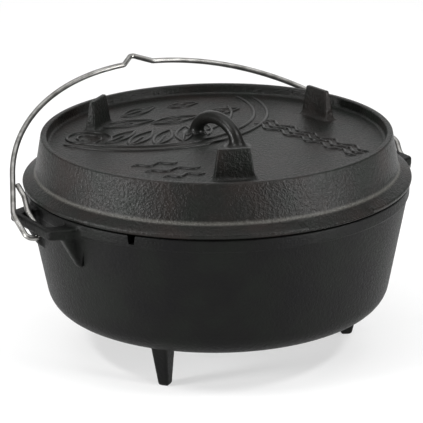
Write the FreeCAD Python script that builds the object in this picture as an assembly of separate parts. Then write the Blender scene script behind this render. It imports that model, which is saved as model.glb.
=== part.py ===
"""Footed cast iron dutch oven: a pot casting, a lid casting and a wire bail.

Frame: millimetres, +Z up, origin on the ground plane under the pot's axis.
The bail's pivot line runs along X, through the two ears. The bail leans back, towards +Y.
"""
import FreeCAD, Part
import math
import os

# ---- pot: heights are above the ground plane ----
LEG_HEIGHT = 40.0
RIM_TOP = 155.0
WALL = 5.5
WALL_TAPER_DEG = 10.9
WALL_TOP_R = 172.0
WALL_TOP_Z = 147.3
CORNER_R = 24.0
RIM_OUTER_R = 173.0
RIM_BAND_Z = 145.0
RIM_INNER_R = 166.5
RIM_ROUND = 1.4

LEG_CIRCLE_R = 118.0
LEG_AZIMUTHS = (96.8, -23.2, -143.2)
LEG_FOOT = 10.0
LEG_FOOT_ROUND = 2.0
LEG_ROOT_WIDTH = 17.0
LEG_ROOT_INNER = -8.0
LEG_ROOT_OUTER = 17.0
LEG_ROOT_Z = 52.0

NOTCH_AZIMUTH = -144.5
NOTCH_WIDTH = 7.6
NOTCH_FLOOR_WIDTH = 5.6
NOTCH_DEPTH = 8.0

EAR_AZIMUTHS = (3.0, 183.0)
EAR_TOP = 151.0
EAR_THICK = 9.0
EAR_OUTER_X = 193.2
EAR_BAR = 6.6
EAR_HALF_OUTER = 35.0
EAR_SPLAY_DEG = 18.0
EAR_ARM = 14.5
EAR_CORNER_R = 5.5
EAR_WINDOW_R = 3.5
EAR_EDGE_ROUND = 2.2
EAR_ROOT_X = 158.0

CORBEL_WIDTH = 12.0
CORBEL_TIP_WIDTH = 8.0
CORBEL_REACH = 14.5
CORBEL_HEIGHT = 31.0
CORBEL_OFFSET = 34.0

# ---- lid ----
SEAT_GAP = 0.3
BRIM_R = 175.0
BRIM_TOP_Z = 160.0
SKIRT_BASE_R = 163.4
SKIRT_BASE_Z = 166.0
LID_RIM_R = 157.3
LID_RIM_Z = 200.5
LID_RIM_THICK = 5.2
TRAY_EDGE_Z = 191.4
TRAY_CROWN = 1.0
LID_PLATE = 5.2
RING_OUTER_R = 164.4
RING_DEPTH = 3.4

FOOT_CIRCLE_R = 116.8
FOOT_AZIMUTHS = (-112.3, 7.7, 127.7)
FOOT_TOP_Z = 218.5
FOOT_ROOT_LENGTH = 36.6
FOOT_ROOT_THICK = 10.4
FOOT_TIP_LENGTH = 28.0
FOOT_TIP_THICK = 4.2
FOOT_FLARE = 3.0

LOOP_AZIMUTH = -79.5
LOOP_HALF_SPAN = 29.0
LOOP_RISE = 20.4
LOOP_ROD_R = 5.9
LOOP_FLARE_R = 9.5

GATE_AZIMUTH = -83.7
GATE_SWEEP_DEG = 28.0
GATE_DEPTH = 1.2

# ---- bail: laid out upright, with the pivot line through the middle of the ears' bars ----
WIRE_R = 2.5
HOOP_R = 193.0
HOOP_CENTRE_T = -16.5
LEAN_DEG = 63.2
PIVOT_Z = EAR_TOP - EAR_THICK / 2
OUTER_STRAND = 197.6
INNER_STRAND = 183.3
EYE_BOTTOM = -20.0
EYE_ROUND = (OUTER_STRAND - INNER_STRAND) / 2
KINK_HALF = 15.0
KINK_SHIFT = 5.0
KINK_TOP_T = 185.3

OUT = "parts"
UP = FreeCAD.Vector(0, 0, 1)
ORIGIN = FreeCAD.Vector(0, 0, 0)


def vec(x, y=0.0, z=0.0):
    return FreeCAD.Vector(x, y, z)


def rounded_path(points, closed=False):
    """Line and arc edges through points (vector, radius); a radius of 0 keeps a sharp corner."""
    count = len(points)
    cuts = []
    for i, (corner, radius) in enumerate(points):
        inner = closed or 0 < i < count - 1
        if radius <= 0 or not inner:
            cuts.append((corner, None, corner))
            continue
        to_last = (points[i - 1][0] - corner).normalize()
        to_next = (points[(i + 1) % count][0] - corner).normalize()
        half = to_last.getAngle(to_next) / 2
        reach = radius / math.tan(half)
        middle_way = (to_last + to_next).normalize()
        middle = corner + middle_way * (radius / math.sin(half) - radius)
        cuts.append((corner + to_last * reach, middle, corner + to_next * reach))
    edges = []
    for i, (start, middle, end) in enumerate(cuts):
        if middle is not None:
            edges.append(Part.Arc(start, middle, end).toShape())
        if i < count - 1 or closed:
            following = cuts[(i + 1) % count][0]
            if end.distanceToPoint(following) > 1e-6:
                edges.append(Part.LineSegment(end, following).toShape())
    return edges


def revolve(profile, degrees=360.0):
    """Solid of a closed (r, z, radius) profile turned about the Z axis."""
    corners = [(vec(r, 0, z), radius) for r, z, radius in profile]
    face = Part.Face(Part.Wire(rounded_path(corners, closed=True)))
    return face.revolve(ORIGIN, UP, degrees)


def turned(shape, azimuth):
    """Copy of a shape turned about the Z axis."""
    copy = shape.copy()
    copy.rotate(ORIGIN, UP, azimuth)
    return copy


def rectangle(x0, x1, half_width, z, corner):
    """Rounded rectangle wire at height z, from x0 to x1 and half_width to each side."""
    corners = [vec(x0, -half_width, z), vec(x1, -half_width, z),
               vec(x1, half_width, z), vec(x0, half_width, z)]
    return Part.Wire(rounded_path([(c, corner) for c in corners], closed=True))


def wall_radius(z):
    """Outer radius of the pot's tapered wall at height z."""
    return WALL_TOP_R - math.tan(math.radians(WALL_TAPER_DEG)) * (WALL_TOP_Z - z)


# ---- pot ----

def pot_outside():
    band_foot = RIM_BAND_Z - 1.6
    corner_r = wall_radius(LEG_HEIGHT)
    return revolve([
        (0, LEG_HEIGHT, 0),
        (corner_r, LEG_HEIGHT, CORNER_R),
        (wall_radius(band_foot), band_foot, 0),
        (RIM_OUTER_R - 0.3, RIM_BAND_Z, 0),
        (RIM_OUTER_R, RIM_TOP, RIM_ROUND),
        (0, RIM_TOP, 0),
    ])


def pot_cavity():
    slope = math.radians(WALL_TAPER_DEG)
    floor = LEG_HEIGHT + WALL
    inset = WALL / math.cos(slope)
    knee_z = WALL_TOP_Z - (WALL_TOP_R - inset - RIM_INNER_R) / math.tan(slope)
    return revolve([
        (0, floor, 0),
        (wall_radius(floor) - inset, floor, CORNER_R - WALL),
        (RIM_INNER_R, knee_z, 8.0),
        (RIM_INNER_R, RIM_TOP, 0),
        (RIM_INNER_R, RIM_TOP + 5, 0),
        (0, RIM_TOP + 5, 0),
    ])


def leg():
    """Tapered leg on the X axis, from its foot up into the pot's corner."""
    half = LEG_FOOT / 2
    foot = rectangle(LEG_CIRCLE_R - half, LEG_CIRCLE_R + half, half, 0, 2.5)
    root = rectangle(LEG_CIRCLE_R + LEG_ROOT_INNER, LEG_CIRCLE_R + LEG_ROOT_OUTER,
                     LEG_ROOT_WIDTH / 2, LEG_ROOT_Z, 4.0)
    solid = Part.makeLoft([foot, root], True, True)
    sole = [edge for edge in solid.Edges if edge.BoundBox.ZMax < 0.01]
    return solid.makeFillet(LEG_FOOT_ROUND, sole)


def ear():
    """Trapezoid loop on the +X side, before the pot's cavity is cut."""
    spread = math.tan(math.radians(EAR_SPLAY_DEG))
    root_half = EAR_HALF_OUTER + spread * (EAR_OUTER_X - EAR_ROOT_X)
    low = EAR_TOP - EAR_THICK
    outline = [(vec(EAR_ROOT_X, -root_half, low), 0), (vec(EAR_OUTER_X, -EAR_HALF_OUTER, low), EAR_CORNER_R),
               (vec(EAR_OUTER_X, EAR_HALF_OUTER, low), EAR_CORNER_R), (vec(EAR_ROOT_X, root_half, low), 0)]
    hole_x = EAR_OUTER_X - EAR_BAR
    hole_half = EAR_HALF_OUTER - EAR_ARM + spread * EAR_BAR
    hole_root = root_half - EAR_ARM
    window = [(vec(EAR_ROOT_X, -hole_root, low), 0), (vec(hole_x, -hole_half, low), EAR_WINDOW_R),
              (vec(hole_x, hole_half, low), EAR_WINDOW_R), (vec(EAR_ROOT_X, hole_root, low), 0)]
    rise = vec(0, 0, EAR_THICK)
    plate = Part.Face(Part.Wire(rounded_path(outline, closed=True))).extrude(rise)
    hole = Part.Face(Part.Wire(rounded_path(window, closed=True))).extrude(rise)
    loop = plate.cut(hole)
    rims = [edge for edge in loop.Edges
            if edge.BoundBox.ZLength < 0.01 and edge.BoundBox.XMax > EAR_ROOT_X + 1]
    return loop.makeFillet(EAR_EDGE_ROUND, rims)


def corbel(side):
    """Rib under one arm of the +X ear; it runs out into the wall at its lower end."""
    top = EAR_TOP - EAR_THICK + EAR_EDGE_ROUND
    foot = top - CORBEL_HEIGHT
    y = side * CORBEL_OFFSET
    sections = []
    for z, reach, width in ((foot, 0.0, CORBEL_TIP_WIDTH), (top, CORBEL_REACH, CORBEL_WIDTH)):
        surface = math.sqrt(wall_radius(z) ** 2 - y ** 2)
        wire = rectangle(surface - 14, surface + reach, width / 2, z, 3.4)
        wire.translate(vec(0, y, 0))
        sections.append(wire)
    return Part.makeLoft(sections, True, True)


def notch():
    """Cutter for the tapered slot down through the rim."""
    top, floor = RIM_TOP + 1, RIM_TOP - NOTCH_DEPTH
    corners = [(vec(150, -NOTCH_WIDTH / 2, top), 0), (vec(150, -NOTCH_FLOOR_WIDTH / 2, floor), 2.2),
               (vec(150, NOTCH_FLOOR_WIDTH / 2, floor), 2.2), (vec(150, NOTCH_WIDTH / 2, top), 0)]
    cutter = Part.Face(Part.Wire(rounded_path(corners, closed=True))).extrude(vec(40))
    return turned(cutter, NOTCH_AZIMUTH)


def build_pot():
    grown = [turned(leg(), azimuth) for azimuth in LEG_AZIMUTHS]
    for azimuth in EAR_AZIMUTHS:
        grown += [turned(piece, azimuth) for piece in (ear(), corbel(1), corbel(-1))]
    solid = pot_outside().fuse(grown)
    return solid.cut([pot_cavity(), notch()]).removeSplitter()


# ---- lid ----

def lid_shell():
    seat = RIM_TOP + SEAT_GAP
    under = TRAY_EDGE_Z - LID_PLATE
    skirt_slope = (SKIRT_BASE_R - LID_RIM_R) / (LID_RIM_Z - SKIRT_BASE_Z)
    inside_top = LID_RIM_R - 2.2
    inside_foot = inside_top + skirt_slope * (under - seat)
    return revolve([
        (0, TRAY_EDGE_Z + TRAY_CROWN, 0),
        (LID_RIM_R - LID_RIM_THICK - 1.0, TRAY_EDGE_Z, 3.0),
        (LID_RIM_R - LID_RIM_THICK, LID_RIM_Z, 1.8),
        (LID_RIM_R, LID_RIM_Z, 1.8),
        (SKIRT_BASE_R, SKIRT_BASE_Z, 3.0),
        (BRIM_R, BRIM_TOP_Z, 1.2),
        (BRIM_R - 0.8, BRIM_TOP_Z - 2.8, 1.0),
        (BRIM_R - 3.6, seat, 1.5),
        (RING_OUTER_R, seat, 0.4),
        (RING_OUTER_R - 0.3, seat - RING_DEPTH, 0.9),
        (inside_foot, seat - RING_DEPTH, 0.9),
        (inside_top, under, 7.0),
        (0, under + TRAY_CROWN, 0),
    ])


def foot():
    """Tapered foot with a flared root, standing on the tray at the X axis."""
    def section(z, thick, length, corner):
        return rectangle(FOOT_CIRCLE_R - thick / 2, FOOT_CIRCLE_R + thick / 2, length / 2, z, corner)

    root_z = TRAY_EDGE_Z - 2
    flare_z = TRAY_EDGE_Z + FOOT_FLARE
    body = Part.makeLoft([section(root_z, FOOT_ROOT_THICK, FOOT_ROOT_LENGTH, 1.4),
                          section(FOOT_TOP_Z, FOOT_TIP_THICK, FOOT_TIP_LENGTH, 1.4)], True, True)
    crown = [edge for edge in body.Edges if edge.BoundBox.ZMin > FOOT_TOP_Z - 0.01]
    body = body.makeFillet(0.9, crown)
    flare = Part.makeLoft([section(root_z, FOOT_ROOT_THICK + 2 * FOOT_FLARE, FOOT_ROOT_LENGTH + 2 * FOOT_FLARE, 2.5),
                           section(flare_z, FOOT_ROOT_THICK - 0.8, FOOT_ROOT_LENGTH - 1.2, 1.4)], True, True)
    return body.fuse(flare)


def loop_handle():
    """Half-round loop of round bar, with a flared root at each end."""
    base = TRAY_EDGE_Z - 1.5
    arch = Part.Ellipse(ORIGIN, LOOP_HALF_SPAN, LOOP_RISE + TRAY_EDGE_Z - base)
    path = arch.toShape(0, math.pi)
    path.rotate(ORIGIN, vec(1), 90)
    path.translate(vec(0, 0, base))
    ring = Part.Wire(Part.makeCircle(LOOP_ROD_R, vec(LOOP_HALF_SPAN, 0, base), UP))
    rod = Part.Wire(path).makePipeShell([ring], True, True)
    roots = [Part.makeCone(LOOP_FLARE_R, LOOP_ROD_R - 0.4, 6.0, vec(side * LOOP_HALF_SPAN, 0, base))
             for side in (-1, 1)]
    return turned(rod.fuse(roots), LOOP_AZIMUTH)


def gate_scar():
    """Cutter for the shallow ground flat that the casting gate leaves on the brim."""
    inner_r, outer_r = SKIRT_BASE_R + 2.2, BRIM_R + 1
    slope = (SKIRT_BASE_Z - BRIM_TOP_Z) / (BRIM_R - SKIRT_BASE_R)
    inner_z = SKIRT_BASE_Z - slope * (inner_r - SKIRT_BASE_R)
    outer_z = SKIRT_BASE_Z - slope * (outer_r - SKIRT_BASE_R)
    cutter = revolve([(inner_r, inner_z, 0), (inner_r + 1.2, inner_z - slope - GATE_DEPTH, 0),
                      (outer_r, outer_z - GATE_DEPTH, 0), (outer_r, outer_z + 3, 0),
                      (inner_r, inner_z + 3, 0)], GATE_SWEEP_DEG)
    return turned(cutter, GATE_AZIMUTH - GATE_SWEEP_DEG / 2)


def build_lid():
    grown = [turned(foot(), azimuth) for azimuth in FOOT_AZIMUTHS]
    grown.append(loop_handle())
    solid = lid_shell().fuse(grown)
    return solid.cut(gate_scar()).removeSplitter()


# ---- bail ----

def hoop_point(degrees):
    """Point of the hoop's circle; 0 degrees is towards +X and 90 is its top."""
    angle = math.radians(degrees)
    return vec(HOOP_R * math.cos(angle), 0, HOOP_CENTRE_T + HOOP_R * math.sin(angle))


def hoop_tangent(degrees):
    """Unit direction of the hoop's circle towards rising degrees."""
    angle = math.radians(degrees)
    return vec(-math.sin(angle), 0, math.cos(angle))


def arc_through(first, last):
    """Arc edge of the hoop's circle between two angles."""
    return Part.Arc(hoop_point(first), hoop_point((first + last) / 2), hoop_point(last)).toShape()


def bail_path():
    """Edges of the wire's centre line, from the cut end at -X to the cut end at +X."""
    left_end, right_end = 157.4, 22.5
    kink_in = 91.2 + math.degrees(math.asin((KINK_HALF - KINK_SHIFT) / HOOP_R))
    kink_out = 88.8 - math.degrees(math.asin((KINK_HALF + KINK_SHIFT) / HOOP_R))
    left_tip = [
        (vec(-178.3, 0, 46), 0),
        (vec(-178.6, 0, 31), 30),
        (vec(-INNER_STRAND, 0, 13), 22),
        (vec(-INNER_STRAND, 0, EYE_BOTTOM), EYE_ROUND - 0.01),
        (vec(-OUTER_STRAND, 0, EYE_BOTTOM), EYE_ROUND - 0.01),
        (vec(-OUTER_STRAND, 0, 12), 22),
        (hoop_point(left_end), 0),
    ]
    shoulder = 4.0
    kink = [
        (hoop_point(kink_in), 0),
        (hoop_point(kink_in) - hoop_tangent(kink_in) * shoulder, 4.5),
        (vec(KINK_SHIFT - 3.8, 0, KINK_TOP_T + 1.0), 3.5),
        (vec(KINK_SHIFT - 0.6, 0, KINK_TOP_T + 1.0), 3.5),
        (hoop_point(kink_out) + hoop_tangent(kink_out) * shoulder, 4.5),
        (hoop_point(kink_out), 0),
    ]
    right_tip = [
        (hoop_point(right_end), 0),
        (hoop_point(right_end) - hoop_tangent(right_end) * 14, 26),
        (vec(INNER_STRAND, 0, 14), 22),
        (vec(INNER_STRAND, 0, EYE_BOTTOM), EYE_ROUND - 0.01),
        (vec(OUTER_STRAND, 0, EYE_BOTTOM), EYE_ROUND - 0.01),
        (vec(OUTER_STRAND + 0.3, 0, 2), 22),
        (vec(203.6, 0, 18), 13),
        (vec(192.5, 0, 41), 20),
        (vec(187.4, 0, 47), 0),
    ]
    edges = rounded_path(left_tip)
    edges.append(arc_through(left_end, kink_in))
    edges += rounded_path(kink)
    edges.append(arc_through(kink_out, right_end))
    edges += rounded_path(right_tip)
    return edges


def build_bail():
    path = Part.Wire(bail_path())
    start = path.Edges[0]
    way = start.tangentAt(start.FirstParameter)
    section = Part.Wire(Part.makeCircle(WIRE_R, start.valueAt(start.FirstParameter), way))
    wire = path.makePipeShell([section], True, False)
    expected = math.pi * WIRE_R ** 2 * path.Length
    print("bail volume / (section x length) =", round(wire.Volume / expected, 4))
    wire.rotate(ORIGIN, vec(1), -LEAN_DEG)
    wire.translate(vec(0, 0, PIVOT_Z))
    return wire


def main():
    os.makedirs(OUT, exist_ok=True)
    for name, build in (("pot", build_pot), ("lid", build_lid), ("bail", build_bail)):
        shape = build()
        solids = shape.Solids
        print(name, "solids", len(solids), "valid", shape.isValid(), "volume", round(shape.Volume))
        box = shape.BoundBox
        print("   x %.1f %.1f  y %.1f %.1f  z %.1f %.1f" % (box.XMin, box.XMax, box.YMin, box.YMax,
                                                          box.ZMin, box.ZMax))
        solids[0].exportStep(os.path.join(OUT, name + ".step"))


main()
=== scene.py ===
"""Looks of the footed cast iron dutch oven: two sand castings and a wire bail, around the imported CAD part.

Shapes are worked out in millimetres in the part's frame and become metres when a mesh is made.
Each casting is a turned body plus grown-on features. A feature is the zero surface of a distance
field that blends it into the body, so that every root has the soft fillet of a casting.
"""

import math

import bpy
import numpy as np
import openvdb
from mathutils import Matrix, Vector


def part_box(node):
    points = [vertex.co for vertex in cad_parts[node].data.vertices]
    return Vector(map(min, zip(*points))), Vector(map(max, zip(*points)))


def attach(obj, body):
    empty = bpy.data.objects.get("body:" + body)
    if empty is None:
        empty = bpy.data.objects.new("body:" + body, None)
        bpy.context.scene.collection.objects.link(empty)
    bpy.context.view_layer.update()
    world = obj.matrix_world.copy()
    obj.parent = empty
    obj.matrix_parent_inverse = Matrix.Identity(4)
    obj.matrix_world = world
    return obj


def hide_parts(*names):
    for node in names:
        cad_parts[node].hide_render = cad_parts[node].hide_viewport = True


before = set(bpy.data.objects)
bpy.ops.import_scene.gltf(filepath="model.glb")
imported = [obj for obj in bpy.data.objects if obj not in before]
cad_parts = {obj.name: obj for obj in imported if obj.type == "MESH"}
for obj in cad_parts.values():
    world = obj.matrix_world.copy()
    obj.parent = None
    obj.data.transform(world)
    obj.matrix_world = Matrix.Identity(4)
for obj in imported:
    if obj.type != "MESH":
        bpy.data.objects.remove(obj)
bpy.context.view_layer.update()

MM = 0.001
POT_TOP_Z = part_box("pot")[1][2] / MM
LID_TOP_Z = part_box("lid")[1][2] / MM

# ---- pot ----
RIM_TOP = POT_TOP_Z
LEG_HEIGHT = 40.0
WALL = 5.5
WALL_TAPER = math.radians(10.9)
WALL_TOP_R = 172.0
WALL_TOP_Z = RIM_TOP - 7.7
CORNER_R = 24.0
RIM_OUTER_R = 173.0
RIM_INNER_R = 166.5
BAND_Z = RIM_TOP - 10.0
RIM_EDGE_R = 1.4
LEG_CIRCLE_R = 118.0
LEG_AZIMUTHS = (96.8, -23.2, -143.2)
LEG_ROOT_Z = 52.0
LEG_SOLE_HALF = 5.0
LEG_SPREAD = (7.5, 3.5)  # growth of the half sizes, outwards and aside, from the sole to the root
LEG_LEAN = 4.5
LEG_CORNER_R = 2.6
LEG_SOLE_EDGE_R = 2.4
LEG_SIDE_SLOPE = 0.98  # turns a distance in plan into one square to the leaning side
LEG_FILLET = 3.6
NOTCH_AZIMUTH = -144.5
NOTCH_DEPTH = 8.0
NOTCH_HALF = 2.3
NOTCH_SIDE = 1.5
NOTCH_STRETCH = 9.0  # height of rim that the notch presses together
EAR_AZIMUTHS = (3.0, 183.0)
EAR_TOP = RIM_TOP - 4.0
EAR_THICK = 9.0
EAR_OUTER_X = 193.2
EAR_BAR = 6.6
EAR_HALF = 35.0
EAR_SPLAY = math.tan(math.radians(18.0))
EAR_ARM = 14.5
EAR_ROOT_X = 158.0
EAR_CORNER_R = 5.5
EAR_HOLE_CORNER_R = 3.5
EAR_EDGE_R = 2.2
EAR_FILLET = 4.5
CORBEL_HEIGHT = 31.0
CORBEL_REACH = 14.5
CORBEL_OFFSET = 34.0
CORBEL_FOOT = 3.5
CORBEL_HALF = 4.0
CORBEL_SPREAD = 2.0
CORBEL_EDGE_R = 3.5
CORBEL_FOOT_R = 4.0
CORBEL_FILLET = 3.0

# ---- lid ----
SEAT_Z = RIM_TOP + 0.3
BRIM_R = 175.0
BRIM_TOP_Z = 160.0
SKIRT_R, SKIRT_Z = 163.4, 166.0
LID_RIM_R, LID_RIM_Z = 157.3, 200.5
TRAY_Z = 191.4
TRAY_CROWN = 1.0
TRAY_R = LID_RIM_R - 6.2
TRAY_CORNER_R = 3.0
RIM_LAND = 5.2  # width of the lid rim's flat top
RIM_LAND_R = 1.8
SKIRT_FILLET = 4.0
BRIM_EDGE_R = 2.2
LID_PLATE = 5.2
RING_R = 164.4
RING_DEPTH = 3.4
FOOT_CIRCLE_R = 116.8
FOOT_AZIMUTHS = (-112.3, 7.7, 127.7)
FOOT_TOP_Z = LID_TOP_Z
FOOT_ROOT_HALF = (5.2, 18.3)
FOOT_SPREAD = (3.1, 4.3)  # loss of the half sizes from the root to the top
FOOT_CORNER_R = 1.3
FOOT_EDGE_R = 0.9
FOOT_FILLET = 4.6
LOOP_AZIMUTH = -79.5
LOOP_HALF_SPAN = 29.0
LOOP_RISE = 20.4
LOOP_ROD_R = 5.9
LOOP_SUNK = 1.5
LOOP_FILLET = 7.0
GATE_AZIMUTH = -83.7
GATE_HALF_SWEEP = 14.0
GATE_DEPTH = 1.44
GATE_EDGE = 0.15

# ---- bail ----
WIRE_R = 2.5
HOOP_R = 193.0
HOOP_CENTRE_T = -16.5
LEAN = math.radians(63.2)
PIVOT_Z = EAR_TOP - EAR_THICK / 2
OUTER_STRAND, INNER_STRAND = 197.6, 183.3
EYE_BOTTOM = -20.0
EYE_ROUND = (OUTER_STRAND - INNER_STRAND) / 2 - 0.01
KINK_HALF = 15.0
KINK_SHIFT = 5.0
KINK_TOP_T = 185.3
KINK_FOOT_R = 4.5
KINK_TOP_R = 3.5
LEFT_STRAND_ANGLE, RIGHT_STRAND_ANGLE = 157.4, 22.5
WIRE_SIDES = 20

# ---- camera: where it stands and the way it looks, as azimuths from +Y towards +X ----
VIEW_AZIMUTH = 29.5
CAMERA_DISTANCE = 2.2297
CAMERA_HEIGHT = 0.8643
CAMERA_PITCH = 0.3207
CAMERA_YAW = -0.0024
CAMERA_ROLL = -0.0112
LENS = 221.28


# ---- looks: colours go from the low to the high end of the patchy noise ----
POT_TINTS = ((0.003, 0.003, 0.0032), (0.0035, 0.0036, 0.0034), (0.0042, 0.005, 0.0041))
LID_TINTS = ((0.0095, 0.0072, 0.0062), (0.006, 0.006, 0.0053), (0.0052, 0.0066, 0.0052))
SMOOTH_TINTS = ((0.007, 0.0062, 0.0058), (0.006, 0.006, 0.0054), (0.0055, 0.006, 0.0054))
# painted highlight: a grainy grey band in the lid's colour along the skirt fillet, in place of the light the
# fillet catches; the band's heights are low, middle and high
PAINTED_HIGHLIGHT_GREY = (0.075, 0.073, 0.066)
PAINTED_HIGHLIGHT_BAND = (SKIRT_Z - 1.2, SKIRT_Z + 0.6, SKIRT_Z + 3.6)
WIRE_TINTS = ((0.17, 0.166, 0.158), (0.3, 0.296, 0.285))
FLOOR_TINTS = ((0.41, 0.41, 0.41), (0.43, 0.43, 0.43))
FLOOR_GLOW = 0.52
FLOOR_HALF = 12.0

# ---- lights: name, place (right, back, up) in metres, width, height and power in watts ----
SOFTBOXES = (("top_softbox", (0, 0.3, 2.4), 3.0, 2.4, 40),
             ("back_softbox", (0, 2.6, 1.1), 3.6, 1.4, 16),
             ("left_softbox", (-1.6, -0.75, 0.35), 0.35, 0.7, 38),
             ("right_softbox", (1.6, -0.95, 0.35), 0.35, 0.7, 38),
             ("left_strip", (-1.25, -0.75, 1.75), 0.9, 0.22, 22),
             ("right_strip", (1.25, -0.75, 1.75), 0.9, 0.22, 20))
LIGHTS_AIM = (0, 0, 0.15)
WORLD_STRENGTH = 0.18

# ---- steps of the meshes ----
HIDDEN = 0.02
CAST_STEP = 0.95
FINE_CAST_STEP = 0.75
TURN_STEP = 1.5
LONGEST_RUN = 6.0


# ---- outlines and distances ----

def unit(way):
    return way / np.linalg.norm(way)


def rounded(points, closed, arc_steps=10):
    """Points along straight runs between corners (a, b, radius), with an arc at each rounded corner."""
    corners = [np.array(point[:2], float) for point in points]
    count = len(corners)
    run = []
    for i, corner in enumerate(corners):
        radius = points[i][2]
        if radius <= 0 or not (closed or 0 < i < count - 1):
            run.append(corner)
            continue
        to_last = unit(corners[i - 1] - corner)
        to_next = unit(corners[(i + 1) % count] - corner)
        half = math.acos(np.clip(to_last @ to_next, -1, 1)) / 2
        centre = corner + unit(to_last + to_next) * radius / math.sin(half)
        first = corner + to_last * radius / math.tan(half) - centre
        last = corner + to_next * radius / math.tan(half) - centre
        turn = math.atan2(first[0] * last[1] - first[1] * last[0], first @ last)
        for k in range(arc_steps + 1):
            c, s = math.cos(turn * k / arc_steps), math.sin(turn * k / arc_steps)
            run.append(centre + np.array([c * first[0] - s * first[1], s * first[0] + c * first[1]]))
    return np.array(run)


def subdivided(run, longest):
    """The same run with long stretches cut into equal pieces."""
    out = [run[0]]
    for a, b in zip(run[:-1], run[1:]):
        pieces = max(1, math.ceil(np.linalg.norm(b - a) / longest))
        out += [a + (b - a) * k / pieces for k in range(1, pieces + 1)]
    return np.array(out)


def edge_distance(u, v, a, b):
    """Squared distance to the segment from a to b."""
    ex, ey = b[0] - a[0], b[1] - a[1]
    wx, wy = u - a[0], v - a[1]
    t = np.clip((wx * ex + wy * ey) / (ex * ex + ey * ey + 1e-12), 0, 1)
    return (wx - ex * t) ** 2 + (wy - ey * t) ** 2


def polygon_distance(u, v, corners):
    """Signed distance to a closed polygon, negative inside."""
    nearest = np.full(np.shape(u), np.inf)
    inside = np.zeros(np.shape(u), bool)
    for a, b in zip(corners, np.roll(corners, -1, axis=0)):
        nearest = np.minimum(nearest, edge_distance(u, v, a, b))
        if a[1] != b[1]:
            crosses = (a[1] > v) != (b[1] > v)
            inside ^= crosses & (u < (b[0] - a[0]) * (v - a[1]) / (b[1] - a[1]) + a[0])
    return np.where(inside, -1, 1) * np.sqrt(nearest)


def blend_union(a, b, reach):
    """Union of two distance fields with a fillet that starts within reach of both."""
    near = np.maximum(reach - np.abs(a - b), 0) / reach
    return np.minimum(a, b) - near * near * reach / 4


def blend_cut(a, b, reach):
    """Intersection of two distance fields with a rounded edge."""
    return -blend_union(-a, -b, reach)


def slab(across, along, radius):
    """Intersection of two distances with an edge rounded to an exact radius."""
    a, b = across + radius, along + radius
    return np.minimum(np.maximum(a, b), 0) + np.hypot(np.maximum(a, 0), np.maximum(b, 0)) - radius


def rounded_box(u, v, half_u, half_v, radius):
    return slab(np.abs(u) - half_u, np.abs(v) - half_v, radius)


def field_surface(field, low, high, step=CAST_STEP):
    """Points and quads of the zero surface of field(x, y, z) inside a box."""
    low = np.array(low, float)
    counts = np.ceil((np.array(high) - low) / step).astype(int) + 1
    x, y, z = np.meshgrid(*(low[i] + step * np.arange(counts[i]) for i in range(3)), indexing="ij")
    values = np.clip(field(x, y, z), -4 * step, 4 * step).astype(np.float32)
    grid = openvdb.FloatGrid(background=5 * step)
    grid.copyFromArray(values)
    points, quads = grid.convertToQuads(isovalue=0.0)
    return points * step + low, quads


def grown(feature, body, fillet, depth=2.6):
    """Field of a feature and its fillet: the body itself is left out, but for a skin just under its surface."""
    both = blend_union(body + HIDDEN, feature, fillet)
    near_feature = feature - fillet - 1.0
    return np.maximum(np.maximum(both, -(body + depth)), near_feature)


# ---- meshes ----

def turned_body(profile, azimuths, adjust):
    """Points and faces of a profile turned about Z. Its first and last points are on the axis."""
    rows = profile[1:-1]
    columns = len(azimuths)
    turn = np.radians(azimuths)
    r = np.repeat(rows[:, :1], columns, axis=1)
    z = np.repeat(rows[:, 1:], columns, axis=1)
    z = adjust(r, z, np.repeat(np.array(azimuths)[None, :], len(rows), axis=0))
    points = np.stack([r * np.cos(turn), r * np.sin(turn), z], axis=2).reshape(-1, 3)
    ends = [[0, 0, profile[0][1]], [0, 0, profile[-1][1]]]
    faces = []
    for i in range(len(rows) - 1):
        for j in range(columns):
            k = (j + 1) % columns
            faces.append((i * columns + j, i * columns + k, (i + 1) * columns + k, (i + 1) * columns + j))
    first, last = len(points), len(points) + 1
    base = (len(rows) - 1) * columns
    for j in range(columns):
        k = (j + 1) % columns
        faces.append((first, k, j))
        faces.append((last, base + j, base + k))
    return np.vstack([points, ends]), faces


def swept(path, radius, sides, up):
    """Points and faces of a round bar along a 3-D path, with domed ends. Its first side is square to up."""
    ways = np.gradient(path, axis=0)
    ways /= np.linalg.norm(ways, axis=1)[:, None]
    dome = [(0.0, 1.0), (0.3, 0.92), (0.6, 0.7), (0.8, 0.4)]
    stations = [(path[0] - ways[0] * radius * rise * 0.4, ways[0], width) for rise, width in dome[:0:-1]]
    stations += [(point, way, 1.0) for point, way in zip(path, ways)]
    stations += [(path[-1] + ways[-1] * radius * rise * 0.4, ways[-1], width) for rise, width in dome[1:]]
    points, faces = [], []
    side = unit(np.cross(ways[0], up))
    for centre, way, width in stations:
        side = unit(side - way * (side @ way))
        other = np.cross(way, side)
        for k in range(sides):
            angle = 2 * math.pi * k / sides
            points.append(centre + radius * width * (side * math.cos(angle) + other * math.sin(angle)))
    for i in range(len(stations) - 1):
        for k in range(sides):
            n = (k + 1) % sides
            faces.append((i * sides + k, i * sides + n, (i + 1) * sides + n, (i + 1) * sides + k))
    faces.append(tuple(range(sides))[::-1])
    faces.append(tuple((len(stations) - 1) * sides + k for k in range(sides)))
    return np.array(points), faces


def turn_points(points, azimuth):
    c, s = math.cos(math.radians(azimuth)), math.sin(math.radians(azimuth))
    return points @ np.array([[c, s, 0], [-s, c, 0], [0, 0, 1]])


def joined(shells):
    """One list of points and faces from several."""
    points, faces, start = [], [], 0
    for shell_points, shell_faces in shells:
        points.append(shell_points)
        faces += [tuple(int(i) + start for i in face) for face in shell_faces]
        start += len(shell_points)
    return np.vstack(points), faces


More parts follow.
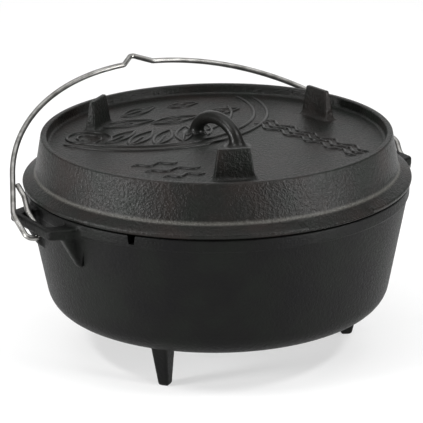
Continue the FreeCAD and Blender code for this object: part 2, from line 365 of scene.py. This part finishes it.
def make_piece(name, shell, material):
    points, faces = shell
    mesh = bpy.data.meshes.new(name)
    mesh.from_pydata([tuple(point) for point in points * MM], [], faces)
    mesh.validate()
    mesh.polygons.foreach_set("use_smooth", [True] * len(mesh.polygons))
    mesh.materials.append(material)
    piece = bpy.data.objects.new(name, mesh)
    bpy.context.scene.collection.objects.link(piece)
    return piece


def spaced_azimuths(step, fine_step, windows):
    """Azimuths all the way round, closer together in each (centre, half width) window."""
    coarse = np.arange(-180.0, 180.0, step)
    fine = [np.arange(centre - half, centre + half, fine_step) for centre, half in windows]
    keep = [a for a in coarse if all(abs(a - centre) > half + step / 2 for centre, half in windows)]
    return sorted(keep + list(np.concatenate(fine)))


# ---- pot ----

def wall_radius(z):
    return WALL_TOP_R - math.tan(WALL_TAPER) * (WALL_TOP_Z - z)


def pot_outside():
    band_foot = BAND_Z - 1.6
    return [(0, LEG_HEIGHT, 0), (wall_radius(LEG_HEIGHT), LEG_HEIGHT, CORNER_R),
            (wall_radius(band_foot), band_foot, 1.2), (RIM_OUTER_R - 0.3, BAND_Z, 1.0),
            (RIM_OUTER_R, RIM_TOP, RIM_EDGE_R)]


def pot_inside():
    floor = LEG_HEIGHT + WALL
    inset = WALL / math.cos(WALL_TAPER)
    knee_z = WALL_TOP_Z - (WALL_TOP_R - inset - RIM_INNER_R) / math.tan(WALL_TAPER)
    return [(RIM_INNER_R, RIM_TOP, RIM_EDGE_R), (RIM_INNER_R, knee_z, 8.0),
            (wall_radius(floor) - inset, floor, CORNER_R - WALL), (0, floor, 0)]


def notch_rim(r, z, azimuth):
    """Heights with the thermometer notch pressed down through the rim."""
    aside = np.abs(r * np.radians(azimuth - NOTCH_AZIMUTH))
    rise = np.clip((aside - NOTCH_HALF) / NOTCH_SIDE, 0, 1)
    share = 1 - NOTCH_DEPTH / NOTCH_STRETCH * (1 - rise * rise * (3 - 2 * rise))
    foot = RIM_TOP - NOTCH_STRETCH
    return np.where(z > foot, foot + (z - foot) * share, z)


POT_SOLID = rounded(pot_outside() + [(0, RIM_TOP, 0)], closed=True, arc_steps=16)


def ear_field(x, y, z):
    """The +X ear and the two corbels under it."""
    root_half = EAR_HALF + EAR_SPLAY * (EAR_OUTER_X - EAR_ROOT_X)
    hole_x = EAR_OUTER_X - EAR_BAR
    hole_half = EAR_HALF - EAR_ARM + EAR_SPLAY * EAR_BAR
    hole_root = root_half - EAR_ARM
    hole_start = EAR_ROOT_X - 20
    edge = rounded([(EAR_ROOT_X, -root_half, 0), (EAR_OUTER_X, -EAR_HALF, EAR_CORNER_R),
                    (EAR_OUTER_X, EAR_HALF, EAR_CORNER_R), (EAR_ROOT_X, root_half, 0)], closed=True)
    hole = rounded([(hole_start, -hole_root, 0), (hole_x, -hole_half, EAR_HOLE_CORNER_R),
                    (hole_x, hole_half, EAR_HOLE_CORNER_R), (hole_start, hole_root, 0)], closed=True)
    plan_x, plan_y = x[:, :, 0], y[:, :, 0]
    plan = np.maximum(polygon_distance(plan_x, plan_y, edge), -polygon_distance(plan_x, plan_y, hole))
    loop = slab(plan[:, :, None], np.abs(z - EAR_TOP + EAR_THICK / 2) - EAR_THICK / 2, EAR_EDGE_R)
    top = EAR_TOP - EAR_THICK + EAR_EDGE_R
    rise = np.clip((z - top + CORBEL_HEIGHT) / CORBEL_HEIGHT, -0.2, 1.2)
    face = np.sqrt(wall_radius(z) ** 2 - CORBEL_OFFSET ** 2)
    sides = np.abs(np.abs(y) - CORBEL_OFFSET) - (CORBEL_HALF + CORBEL_SPREAD * rise)
    reach = CORBEL_FOOT + (CORBEL_REACH - CORBEL_FOOT) * rise
    front = (x - face - reach) * math.cos(math.atan2(CORBEL_REACH - CORBEL_FOOT, CORBEL_HEIGHT))
    blunt = blend_cut(blend_cut(sides, front, CORBEL_EDGE_R), top - CORBEL_HEIGHT - z, CORBEL_FOOT_R)
    corbel = np.maximum(blunt, z - top)
    body = polygon_distance(np.hypot(x, y), z, POT_SOLID)
    return grown(blend_union(loop, corbel, CORBEL_FILLET), body, EAR_FILLET)


def leg_field(x, y, z):
    """A leg on the +X axis."""
    rise = z / LEG_ROOT_Z
    half_x, half_y = (LEG_SOLE_HALF + spread * rise for spread in LEG_SPREAD)
    plan = rounded_box(x - LEG_CIRCLE_R - LEG_LEAN * rise, y, half_x, half_y, LEG_CORNER_R)
    leg = slab(plan * LEG_SIDE_SLOPE, -z, LEG_SOLE_EDGE_R)
    body = polygon_distance(np.hypot(x, y), z, POT_SOLID)
    return grown(leg, body, LEG_FILLET)


def build_pot(material):
    profile = subdivided(rounded(pot_outside() + pot_inside(), closed=False), LONGEST_RUN)
    azimuths = spaced_azimuths(TURN_STEP, 0.1, [(NOTCH_AZIMUTH, 2.0)])
    shells = [turned_body(profile, azimuths, notch_rim)]
    ear = field_surface(ear_field, (163, -50, 107), (196, 50, 154))
    shells += [(turn_points(ear[0], azimuth), ear[1]) for azimuth in EAR_AZIMUTHS]
    leg = field_surface(leg_field, (98, -20, -3), (146, 20, 66))
    shells += [(turn_points(leg[0], azimuth), leg[1]) for azimuth in LEG_AZIMUTHS]
    return make_piece("pot_casting", joined(shells), material)


# ---- lid ----

def lid_top():
    return [(0, TRAY_Z + TRAY_CROWN, 0), (TRAY_R, TRAY_Z, TRAY_CORNER_R),
            (LID_RIM_R - RIM_LAND, LID_RIM_Z, RIM_LAND_R), (LID_RIM_R, LID_RIM_Z, RIM_LAND_R),
            (SKIRT_R, SKIRT_Z, SKIRT_FILLET), (BRIM_R, BRIM_TOP_Z, BRIM_EDGE_R),
            (BRIM_R - 0.6, BRIM_TOP_Z - 2.8, 0.6), (BRIM_R - 3.6, SEAT_Z, 1.5)]


def lid_under():
    under = TRAY_Z - LID_PLATE
    inside = LID_RIM_R - 2.2
    slope = (SKIRT_R - LID_RIM_R) / (LID_RIM_Z - SKIRT_Z)
    return [(RING_R, SEAT_Z, 0.4), (RING_R - 0.3, SEAT_Z - RING_DEPTH, 0.9),
            (inside + slope * (under - SEAT_Z), SEAT_Z - RING_DEPTH, 0.9), (inside, under, 7.0),
            (0, under + TRAY_CROWN, 0)]


LID_SOLID = rounded(lid_top() + [(0, SEAT_Z, 0)], closed=True, arc_steps=12)


def tray_height(r):
    return TRAY_Z + TRAY_CROWN * (1 - r / TRAY_R)


def ease(value, start, end):
    t = np.clip((value - start) / (end - start), 0, 1)
    return t * t * (3 - 2 * t)


def gate_cut(r, z, azimuth):
    """Heights with the gate's ground flat taken off the brim.

    Its ends run aslant across the brim, and each has a small burr.
    """
    across = (r - SKIRT_R) / (BRIM_R - SKIRT_R)
    first = GATE_AZIMUTH - GATE_HALF_SWEEP + 4.6 * across
    last = GATE_AZIMUTH + GATE_HALF_SWEEP + 0.8 * across
    inside = (ease(azimuth, first - GATE_EDGE, first + GATE_EDGE)
              * (1 - ease(azimuth, last - GATE_EDGE, last + GATE_EDGE)))
    first_burr = 0.45 * np.exp(-((azimuth - first + 0.3) / 0.3) ** 2)
    last_burr = 0.75 * np.exp(-((azimuth - last - 0.2) / 0.28) ** 2)
    on_top = ease(r, SKIRT_R + 1.6, SKIRT_R + 2.8) * (z > BRIM_TOP_Z - 1.4)
    return z + (first_burr + last_burr - GATE_DEPTH * inside) * on_top


def foot_field(x, y, z):
    """A lid foot on the +X axis."""
    rise = (z - TRAY_Z + 2) / (FOOT_TOP_Z - TRAY_Z + 2)
    half_x, half_y = (half - spread * rise for half, spread in zip(FOOT_ROOT_HALF, FOOT_SPREAD))
    plan = rounded_box(x - FOOT_CIRCLE_R, y, half_x, half_y, FOOT_CORNER_R)
    foot = slab(plan, z - FOOT_TOP_Z, FOOT_EDGE_R)
    body = polygon_distance(np.hypot(x, y), z, LID_SOLID)
    return grown(foot, body, FOOT_FILLET)


def loop_field(x, y, z):
    """The loop handle along the X axis."""
    base = TRAY_Z - LOOP_SUNK
    angles = np.linspace(0, math.pi, 49)
    arch = np.stack([LOOP_HALF_SPAN * np.cos(angles), base + (LOOP_RISE + LOOP_SUNK) * np.sin(angles)], axis=1)
    flat_x, flat_z = x[:, 0, :], z[:, 0, :]
    nearest = np.full(flat_x.shape, np.inf)
    for a, b in zip(arch[:-1], arch[1:]):
        nearest = np.minimum(nearest, edge_distance(flat_x, flat_z, a, b))
    bar = np.sqrt(nearest[:, None, :] + y ** 2) - LOOP_ROD_R
    body = polygon_distance(np.hypot(x, y), z, LID_SOLID)
    return grown(bar, body, LOOP_FILLET)


def build_lid(material):
    profile = subdivided(rounded(lid_top() + lid_under(), closed=False), LONGEST_RUN)[::-1]
    ends = [(GATE_AZIMUTH - GATE_HALF_SWEEP + 2, 4.0), (GATE_AZIMUTH + GATE_HALF_SWEEP, 2.0)]
    azimuths = spaced_azimuths(TURN_STEP, 0.12, ends)
    shells = [turned_body(profile, azimuths, gate_cut)]
    foot = field_surface(foot_field, (100, -30, 186), (134, 30, 221), FINE_CAST_STEP)
    shells += [(turn_points(foot[0], azimuth), foot[1]) for azimuth in FOOT_AZIMUTHS]
    return make_piece("lid_casting", joined(shells), material)


def build_loop(material):
    points, quads = field_surface(loop_field, (-46, -18, 186), (46, 18, 220), FINE_CAST_STEP)
    return make_piece("lid_loop", joined([(turn_points(points, LOOP_AZIMUTH), quads)]), material)


# ---- bail ----

def hoop(first, last):
    """Points of the hoop's circle between two angles; 0 degrees is towards +X."""
    angles = np.radians(np.linspace(first, last, max(2, int(abs(last - first)))))
    return np.stack([HOOP_R * np.cos(angles), HOOP_CENTRE_T + HOOP_R * np.sin(angles)], axis=1)


def beyond(angle, toward, distance):
    """Point on the hoop's tangent at an angle, some distance towards rising or falling angles."""
    at = hoop(angle, angle)[0]
    way = np.array([-math.sin(math.radians(angle)), math.cos(math.radians(angle))])
    return at + way * toward * distance


def bail_run():
    """Centre line of the wire in its own plane, from the cut end at -X to the cut end at +X."""
    kink_in = 91.2 + math.degrees(math.asin((KINK_HALF - KINK_SHIFT) / HOOP_R))
    kink_out = 88.8 - math.degrees(math.asin((KINK_HALF + KINK_SHIFT) / HOOP_R))
    left_join = hoop(LEFT_STRAND_ANGLE, LEFT_STRAND_ANGLE)[0]
    right_join = hoop(RIGHT_STRAND_ANGLE, RIGHT_STRAND_ANGLE)[0]
    left_tip = [(-178.3, 46, 0), (-178.6, 31, 30), (-INNER_STRAND, 13, 22), (-INNER_STRAND, EYE_BOTTOM, EYE_ROUND),
                (-OUTER_STRAND, EYE_BOTTOM, EYE_ROUND), (-OUTER_STRAND, 12, 22), (*left_join, 0)]
    kink = [(*hoop(kink_in, kink_in)[0], 0), (*beyond(kink_in, -1, 4.0), KINK_FOOT_R),
            (KINK_SHIFT - 3.8, KINK_TOP_T + 1, KINK_TOP_R), (KINK_SHIFT - 0.6, KINK_TOP_T + 1, KINK_TOP_R),
            (*beyond(kink_out, 1, 4.0), KINK_FOOT_R), (*hoop(kink_out, kink_out)[0], 0)]
    right_tip = [(*right_join, 0), (*beyond(RIGHT_STRAND_ANGLE, -1, 14), 26), (INNER_STRAND, 14, 22),
                 (INNER_STRAND, EYE_BOTTOM, EYE_ROUND), (OUTER_STRAND, EYE_BOTTOM, EYE_ROUND),
                 (OUTER_STRAND + 0.3, 2, 22), (203.6, 18, 13), (192.5, 41, 20), (187.4, 47, 0)]
    runs = [rounded(left_tip, False), hoop(LEFT_STRAND_ANGLE, kink_in), rounded(kink, False),
            hoop(kink_out, RIGHT_STRAND_ANGLE), rounded(right_tip, False)]
    run = np.vstack([runs[0]] + [part[1:] for part in runs[1:]])
    return subdivided(run, 2.5)


def build_bail(material):
    run = bail_run()
    lying = np.stack([run[:, 0], run[:, 1] * math.sin(LEAN), PIVOT_Z + run[:, 1] * math.cos(LEAN)], axis=1)
    return make_piece("bail_wire", swept(lying, WIRE_R, WIRE_SIDES, np.array([0.0, 0.0, 1.0])), material)


# ---- relief on the lid: two arcs, a scroll, leaves and waves ----

RELIEF_TURN = math.radians(-VIEW_AZIMUTH)
RELIEF_EDGE = TRAY_R - 3.5
RIDGE_SECTION = ((-0.62, -0.45), (-0.5, 0.1), (-0.33, 0.72), (-0.12, 1.0),
                 (0.12, 1.0), (0.33, 0.72), (0.5, 0.1), (0.62, -0.45))
ARC_CENTRE = (-70.0, 84.0)
SCROLL_CENTRE = (-117, 6)
# each leaf: its foot, the azimuth it points to, its length and its width
LEAVES = (((-98, -10), 58, 46, 14), ((-78, -18), 66, 50, 15), ((-54, -18), 76, 50, 15), ((-30, -8), 88, 50, 15),
          ((-8, 10), 100, 46, 14), ((-108, 40), 24, 56, 17), ((-60, 50), 30, 52, 17), ((-14, 78), 30, 42, 15),
          ((-88, 74), 48, 46, 15), ((-46, 104), 30, 34, 13))
FRONT_WAVES = (((-74, -80), (-34, -68)), ((-62, -96), (-14, -82)), ((-46, -111), (-10, -99)))
SIDE_WAVES_FIRST, SIDE_WAVES_LAST = (40.0, 52.0), (128.0, -46.0)
SIDE_WAVES_APART = 8.0


def ridge(line, width, height):
    """A raised line on the tray along plan points, low and narrow at both ends."""
    line = subdivided(np.array(line), 1.5)
    away = np.concatenate([[0], np.cumsum(np.linalg.norm(np.diff(line, axis=0), axis=1))])
    taper = np.clip(np.minimum(away, away[-1] - away) / (1.6 * width), 0.05, 1) ** 0.5
    ways = np.gradient(line, axis=0)
    ways /= np.linalg.norm(ways, axis=1)[:, None] + 1e-9
    normals = np.stack([-ways[:, 1], ways[:, 0]], axis=1)
    c, s = math.cos(RELIEF_TURN), math.sin(RELIEF_TURN)
    points, faces = [], []
    for at, normal, size in zip(line, normals, taper):
        for across, up in RIDGE_SECTION:
            plan = at + normal * across * width * size
            z = tray_height(np.linalg.norm(plan)) + up * height * (size if up > 0 else 1)
            points.append((plan[0] * c - plan[1] * s, plan[0] * s + plan[1] * c, z))
    n = len(RIDGE_SECTION)
    for i in range(len(line) - 1):
        for k in range(n - 1):
            faces.append((i * n + k, (i + 1) * n + k, (i + 1) * n + k + 1, i * n + k + 1))
        faces.append((i * n + n - 1, (i + 1) * n + n - 1, (i + 1) * n, i * n))
    faces.append(tuple(range(n)))
    faces.append(tuple((len(line) - 1) * n + k for k in range(n))[::-1])
    return np.array(points), faces


def arc(centre, radius, first, last, growth=0.0):
    """Plan points of an arc in degrees; its radius grows by growth over the sweep."""
    turns = np.radians(np.linspace(first, last, max(8, int(abs(last - first) / 4))))
    radii = radius + growth * np.linspace(0, 1, len(turns))
    return np.stack([centre[0] + radii * np.cos(turns), centre[1] + radii * np.sin(turns)], axis=1)


def inside_tray(line):
    return line[np.linalg.norm(line, axis=1) < RELIEF_EDGE]


def leaf(at, way, length, width):
    """Two curved edges and a midrib, as plan lines, of a pointed leaf."""
    t = np.linspace(0, 1, 12)
    c, s = math.cos(math.radians(way)), math.sin(math.radians(way))
    lines = []
    for side, reach in ((1, 1.0), (-1, 1.0), (0, 0.62)):
        along = t * length * reach
        across = side * width / 2 * np.sin(math.pi * t) * (1.15 - 0.3 * t)
        lines.append(np.stack([at[0] + along * c - across * s, at[1] + along * s + across * c], axis=1))
    return lines


def wave(first, last, swing, periods):
    """A sine line between two plan points."""
    t = np.linspace(0, 1, max(12, int(periods * 10)))[:, None]
    first, last = np.array(first, float), np.array(last, float)
    way = unit(last - first)
    return first + (last - first) * t + np.array([-way[1], way[0]]) * swing * np.sin(2 * math.pi * periods * t)


def relief_lines():
    """Every raised line, as (plan points, width, height). Plan axes are turned to the view."""
    lines = [(inside_tray(arc(ARC_CENTRE, 117, -125, 30)), 3.6, 1.4),
             (inside_tray(arc(ARC_CENTRE, 105, -125, 38)), 3.6, 1.4),
             (arc(SCROLL_CENTRE, 24, -60, 620, -18), 3.2, 1.3)]
    for at, way, length, width in LEAVES:
        lines += [(edge, 2.8, 1.2) for edge in leaf(at, way, length, width)]
    lines.append((arc(ARC_CENTRE, 84, -60, 18), 3.0, 1.2))
    for first, last in FRONT_WAVES:
        lines.append((wave(first, last, 3.2, 2.0), 3.4, 1.3))
    start, end = np.array(SIDE_WAVES_FIRST), np.array(SIDE_WAVES_LAST)
    for side in (-SIDE_WAVES_APART, 0.0, SIDE_WAVES_APART):
        aside = np.array([unit(end - start)[1], -unit(end - start)[0]]) * side
        lines.append((wave(start + aside, end + aside, 3.4, 5.0), 3.0, 1.3))
    return lines


def build_relief(material):
    shells = [ridge(line, width, height) for line, width, height in relief_lines()]
    return make_piece("lid_relief", joined(shells), material)


# ---- materials ----

def new_material(name):
    material = bpy.data.materials.new(name)
    material.use_nodes = True
    tree = material.node_tree
    shader = tree.nodes["Principled BSDF"]
    place = tree.nodes.new("ShaderNodeTexCoord")
    return material, tree, shader, place.outputs["Object"]


def noise(tree, place, size_mm, detail=3.0, roughness=0.55):
    """Noise whose features are about size_mm across."""
    node = tree.nodes.new("ShaderNodeTexNoise")
    node.inputs["Scale"].default_value = 1 / (size_mm * MM)
    node.inputs["Detail"].default_value = detail
    node.inputs["Roughness"].default_value = roughness
    tree.links.new(place, node.inputs["Vector"])
    return node.outputs["Fac"]


def ramp(tree, factor, stops):
    """Colour ramp through stops (position, colour)."""
    node = tree.nodes.new("ShaderNodeValToRGB")
    elements = node.color_ramp.elements
    while len(elements) < len(stops):
        elements.new(0.5)
    for element, (position, colour) in zip(elements, stops):
        element.position = position
        element.color = (*colour, 1)
    tree.links.new(factor, node.inputs["Fac"])
    return node.outputs["Color"]


def spread(tree, factor, low, high):
    """The factor's middle range mapped to low..high."""
    node = tree.nodes.new("ShaderNodeMapRange")
    node.inputs["From Min"].default_value = 0.3
    node.inputs["From Max"].default_value = 0.7
    node.inputs["To Min"].default_value = low
    node.inputs["To Max"].default_value = high
    tree.links.new(factor, node.inputs["Value"])
    return node.outputs["Result"]


def bump(tree, height, distance_mm, strength, below=None):
    node = tree.nodes.new("ShaderNodeBump")
    node.inputs["Strength"].default_value = strength
    node.inputs["Distance"].default_value = distance_mm * MM
    tree.links.new(height, node.inputs["Height"])
    if below is not None:
        tree.links.new(below, node.inputs["Normal"])
    return node.outputs["Normal"]


def height_band(tree, place, heights_mm):
    """1 at the middle one of three heights, falling to 0 at the two others."""
    split = tree.nodes.new("ShaderNodeSeparateXYZ")
    tree.links.new(place, split.inputs["Vector"])
    low, middle, high = heights_mm
    sides = []
    for zero in (low, high):
        node = tree.nodes.new("ShaderNodeMapRange")
        node.interpolation_type = "SMOOTHSTEP"
        node.inputs["From Min"].default_value = zero * MM
        node.inputs["From Max"].default_value = middle * MM
        tree.links.new(split.outputs["Z"], node.inputs["Value"])
        sides.append(node.outputs["Result"])
    return multiplied(tree, sides[0], sides[1])


def multiplied(tree, a, b):
    node = tree.nodes.new("ShaderNodeMath")
    node.operation = "MULTIPLY"
    tree.links.new(a, node.inputs[0])
    tree.links.new(b, node.inputs[1])
    return node.outputs["Value"]


def mixed(tree, factor, first, second):
    """Colour between a linked first colour and a fixed second one."""
    node = tree.nodes.new("ShaderNodeMix")
    node.data_type = "RGBA"
    tree.links.new(factor, node.inputs["Factor"])
    tree.links.new(first, node.inputs["A"])
    node.inputs["B"].default_value = (*second, 1)
    return node.outputs["Result"]


def cast_iron(name, tints, specular, roughness, grain, painted_highlight_band=None):
    """Seasoned sand-cast iron: patchy dark colour, a grain of about a millimetre, and slow waves.

    The band argument holds three heights. Around the middle one, a grey painted highlight is mixed into the colour
    in place of the light that the lid's skirt fillet catches.
    """
    material, tree, shader, place = new_material(name)
    patches = noise(tree, place, 34, 2.0)
    colour = ramp(tree, patches, [(0.32, tints[0]), (0.5, tints[1]), (0.68, tints[2])])
    fine = noise(tree, place, 1.7, 3.0, 0.65)
    # painted highlight: grey iron mixed in around the middle band height, broken up by the fine grain
    if painted_highlight_band is not None:
        painted_highlight = multiplied(tree, height_band(tree, place, painted_highlight_band), spread(tree, fine, 0.25, 1.0))
        colour = mixed(tree, painted_highlight, colour, PAINTED_HIGHLIGHT_GREY)
    tree.links.new(colour, shader.inputs["Base Color"])
    tree.links.new(spread(tree, fine, roughness - 0.1, roughness + 0.1), shader.inputs["Roughness"])
    waves = bump(tree, noise(tree, place, 24, 2.0), 0.6, 0.35)
    pits = bump(tree, noise(tree, place, 2.9, 3.0, 0.6), grain, 0.9, waves)
    skin = bump(tree, noise(tree, place, 1.5, 2.0), 0.5 * grain, 0.9, pits)
    tree.links.new(skin, shader.inputs["Normal"])
    shader.inputs["Specular IOR Level"].default_value = specular
    return material


def bright_wire(name):
    """Drawn steel wire, bright, with faint wear and small dull spots."""
    material, tree, shader, place = new_material(name)
    patches = noise(tree, place, 9, 3.0)
    tree.links.new(ramp(tree, patches, [(0.35, WIRE_TINTS[0]), (0.6, WIRE_TINTS[1])]),
                   shader.inputs["Base Color"])
    fine = noise(tree, place, 0.7, 2.0)
    tree.links.new(spread(tree, fine, 0.3, 0.42), shader.inputs["Roughness"])
    tree.links.new(bump(tree, fine, 0.03, 0.5), shader.inputs["Normal"])
    shader.inputs["Metallic"].default_value = 1.0
    return material


def pale_floor(name):
    material, tree, shader, place = new_material(name)
    tree.links.new(ramp(tree, noise(tree, place, 400, 1.0), [(0.0, FLOOR_TINTS[0]), (1.0, FLOOR_TINTS[1])]),
                   shader.inputs["Base Color"])
    shader.inputs["Roughness"].default_value = 0.9
    shader.inputs["Specular IOR Level"].default_value = 0.0
    shader.inputs["Emission Color"].default_value = (1, 1, 1, 1)
    shader.inputs["Emission Strength"].default_value = FLOOR_GLOW
    return material


# ---- studio ----

def in_view_frame(right, back, up):
    """Point given by its distances to the right, to the back and up, as the camera sees them."""
    c, s = math.cos(math.radians(VIEW_AZIMUTH)), math.sin(math.radians(VIEW_AZIMUTH))
    return Vector((right * c + back * s, -right * s + back * c, up))


def add_floor(material):
    half = FLOOR_HALF
    mesh = bpy.data.meshes.new("floor")
    mesh.from_pydata([(-half, -half, 0), (half, -half, 0), (half, half, 0), (-half, half, 0)], [], [(0, 1, 2, 3)])
    mesh.materials.append(material)
    floor = bpy.data.objects.new("floor", mesh)
    bpy.context.scene.collection.objects.link(floor)


def add_softbox(name, place, target, width, height, power):
    light = bpy.data.lights.new(name, "AREA")
    light.shape = "RECTANGLE"
    light.size = width
    light.size_y = height
    light.energy = power
    lamp = bpy.data.objects.new(name, light)
    lamp.location = in_view_frame(*place)
    aim = in_view_frame(*target) - lamp.location
    lamp.rotation_euler = aim.to_track_quat("-Z", "Y").to_euler()
    bpy.context.scene.collection.objects.link(lamp)


def add_lights():
    for name, place, width, height, power in SOFTBOXES:
        add_softbox(name, place, LIGHTS_AIM, width, height, power)
    world = bpy.data.worlds.new("studio")
    world.use_nodes = True
    world.node_tree.nodes["Background"].inputs["Color"].default_value = (1, 1, 1, 1)
    world.node_tree.nodes["Background"].inputs["Strength"].default_value = WORLD_STRENGTH
    bpy.context.scene.world = world
    bpy.context.scene.view_settings.view_transform = "Standard"


def add_camera():
    yaw, pitch, roll = CAMERA_YAW, CAMERA_PITCH, CAMERA_ROLL
    ahead = Vector((math.sin(yaw) * math.cos(pitch), math.cos(yaw) * math.cos(pitch), -math.sin(pitch)))
    level = Vector((math.cos(yaw), -math.sin(yaw), 0))
    over = level.cross(ahead)
    right = math.cos(roll) * level + math.sin(roll) * over
    up = -math.sin(roll) * level + math.cos(roll) * over
    turned = Matrix((right, up, -ahead)).transposed().to_4x4()
    data = bpy.data.cameras.new("camera")
    data.lens = LENS
    data.sensor_width = 36
    camera = bpy.data.objects.new("camera", data)
    turn = Matrix.Rotation(-math.radians(VIEW_AZIMUTH), 4, "Z")
    camera.matrix_world = turn @ Matrix.Translation((0, -CAMERA_DISTANCE, CAMERA_HEIGHT)) @ turned
    bpy.context.scene.collection.objects.link(camera)
    bpy.context.scene.camera = camera


def main():
    pot_iron = cast_iron("pot_iron", POT_TINTS, specular=0.1, roughness=0.46, grain=0.6)
    # the lid's iron carries the painted highlight along the skirt fillet
    lid_iron = cast_iron("lid_iron", LID_TINTS, specular=0.16, roughness=0.38, grain=1.0, painted_highlight_band=PAINTED_HIGHLIGHT_BAND)
    smooth_iron = cast_iron("smooth_iron", SMOOTH_TINTS, specular=0.18, roughness=0.34, grain=0.15)
    wire = bright_wire("bail_wire")
    for piece, body, slot in ((build_pot(pot_iron), "pot", "pot_iron"), (build_lid(lid_iron), "lid", "lid_iron"),
                              (build_loop(smooth_iron), "lid", "lid_iron"),
                              (build_relief(smooth_iron), "lid", "lid_iron"),
                              (build_bail(wire), "bail", "bail_wire")):
        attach(piece, body)
        if piece.name in ("pot_casting", "lid_casting", "bail_wire"):
            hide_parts(body)
    add_floor(pale_floor("pale_floor"))
    add_lights()
    add_camera()


main()
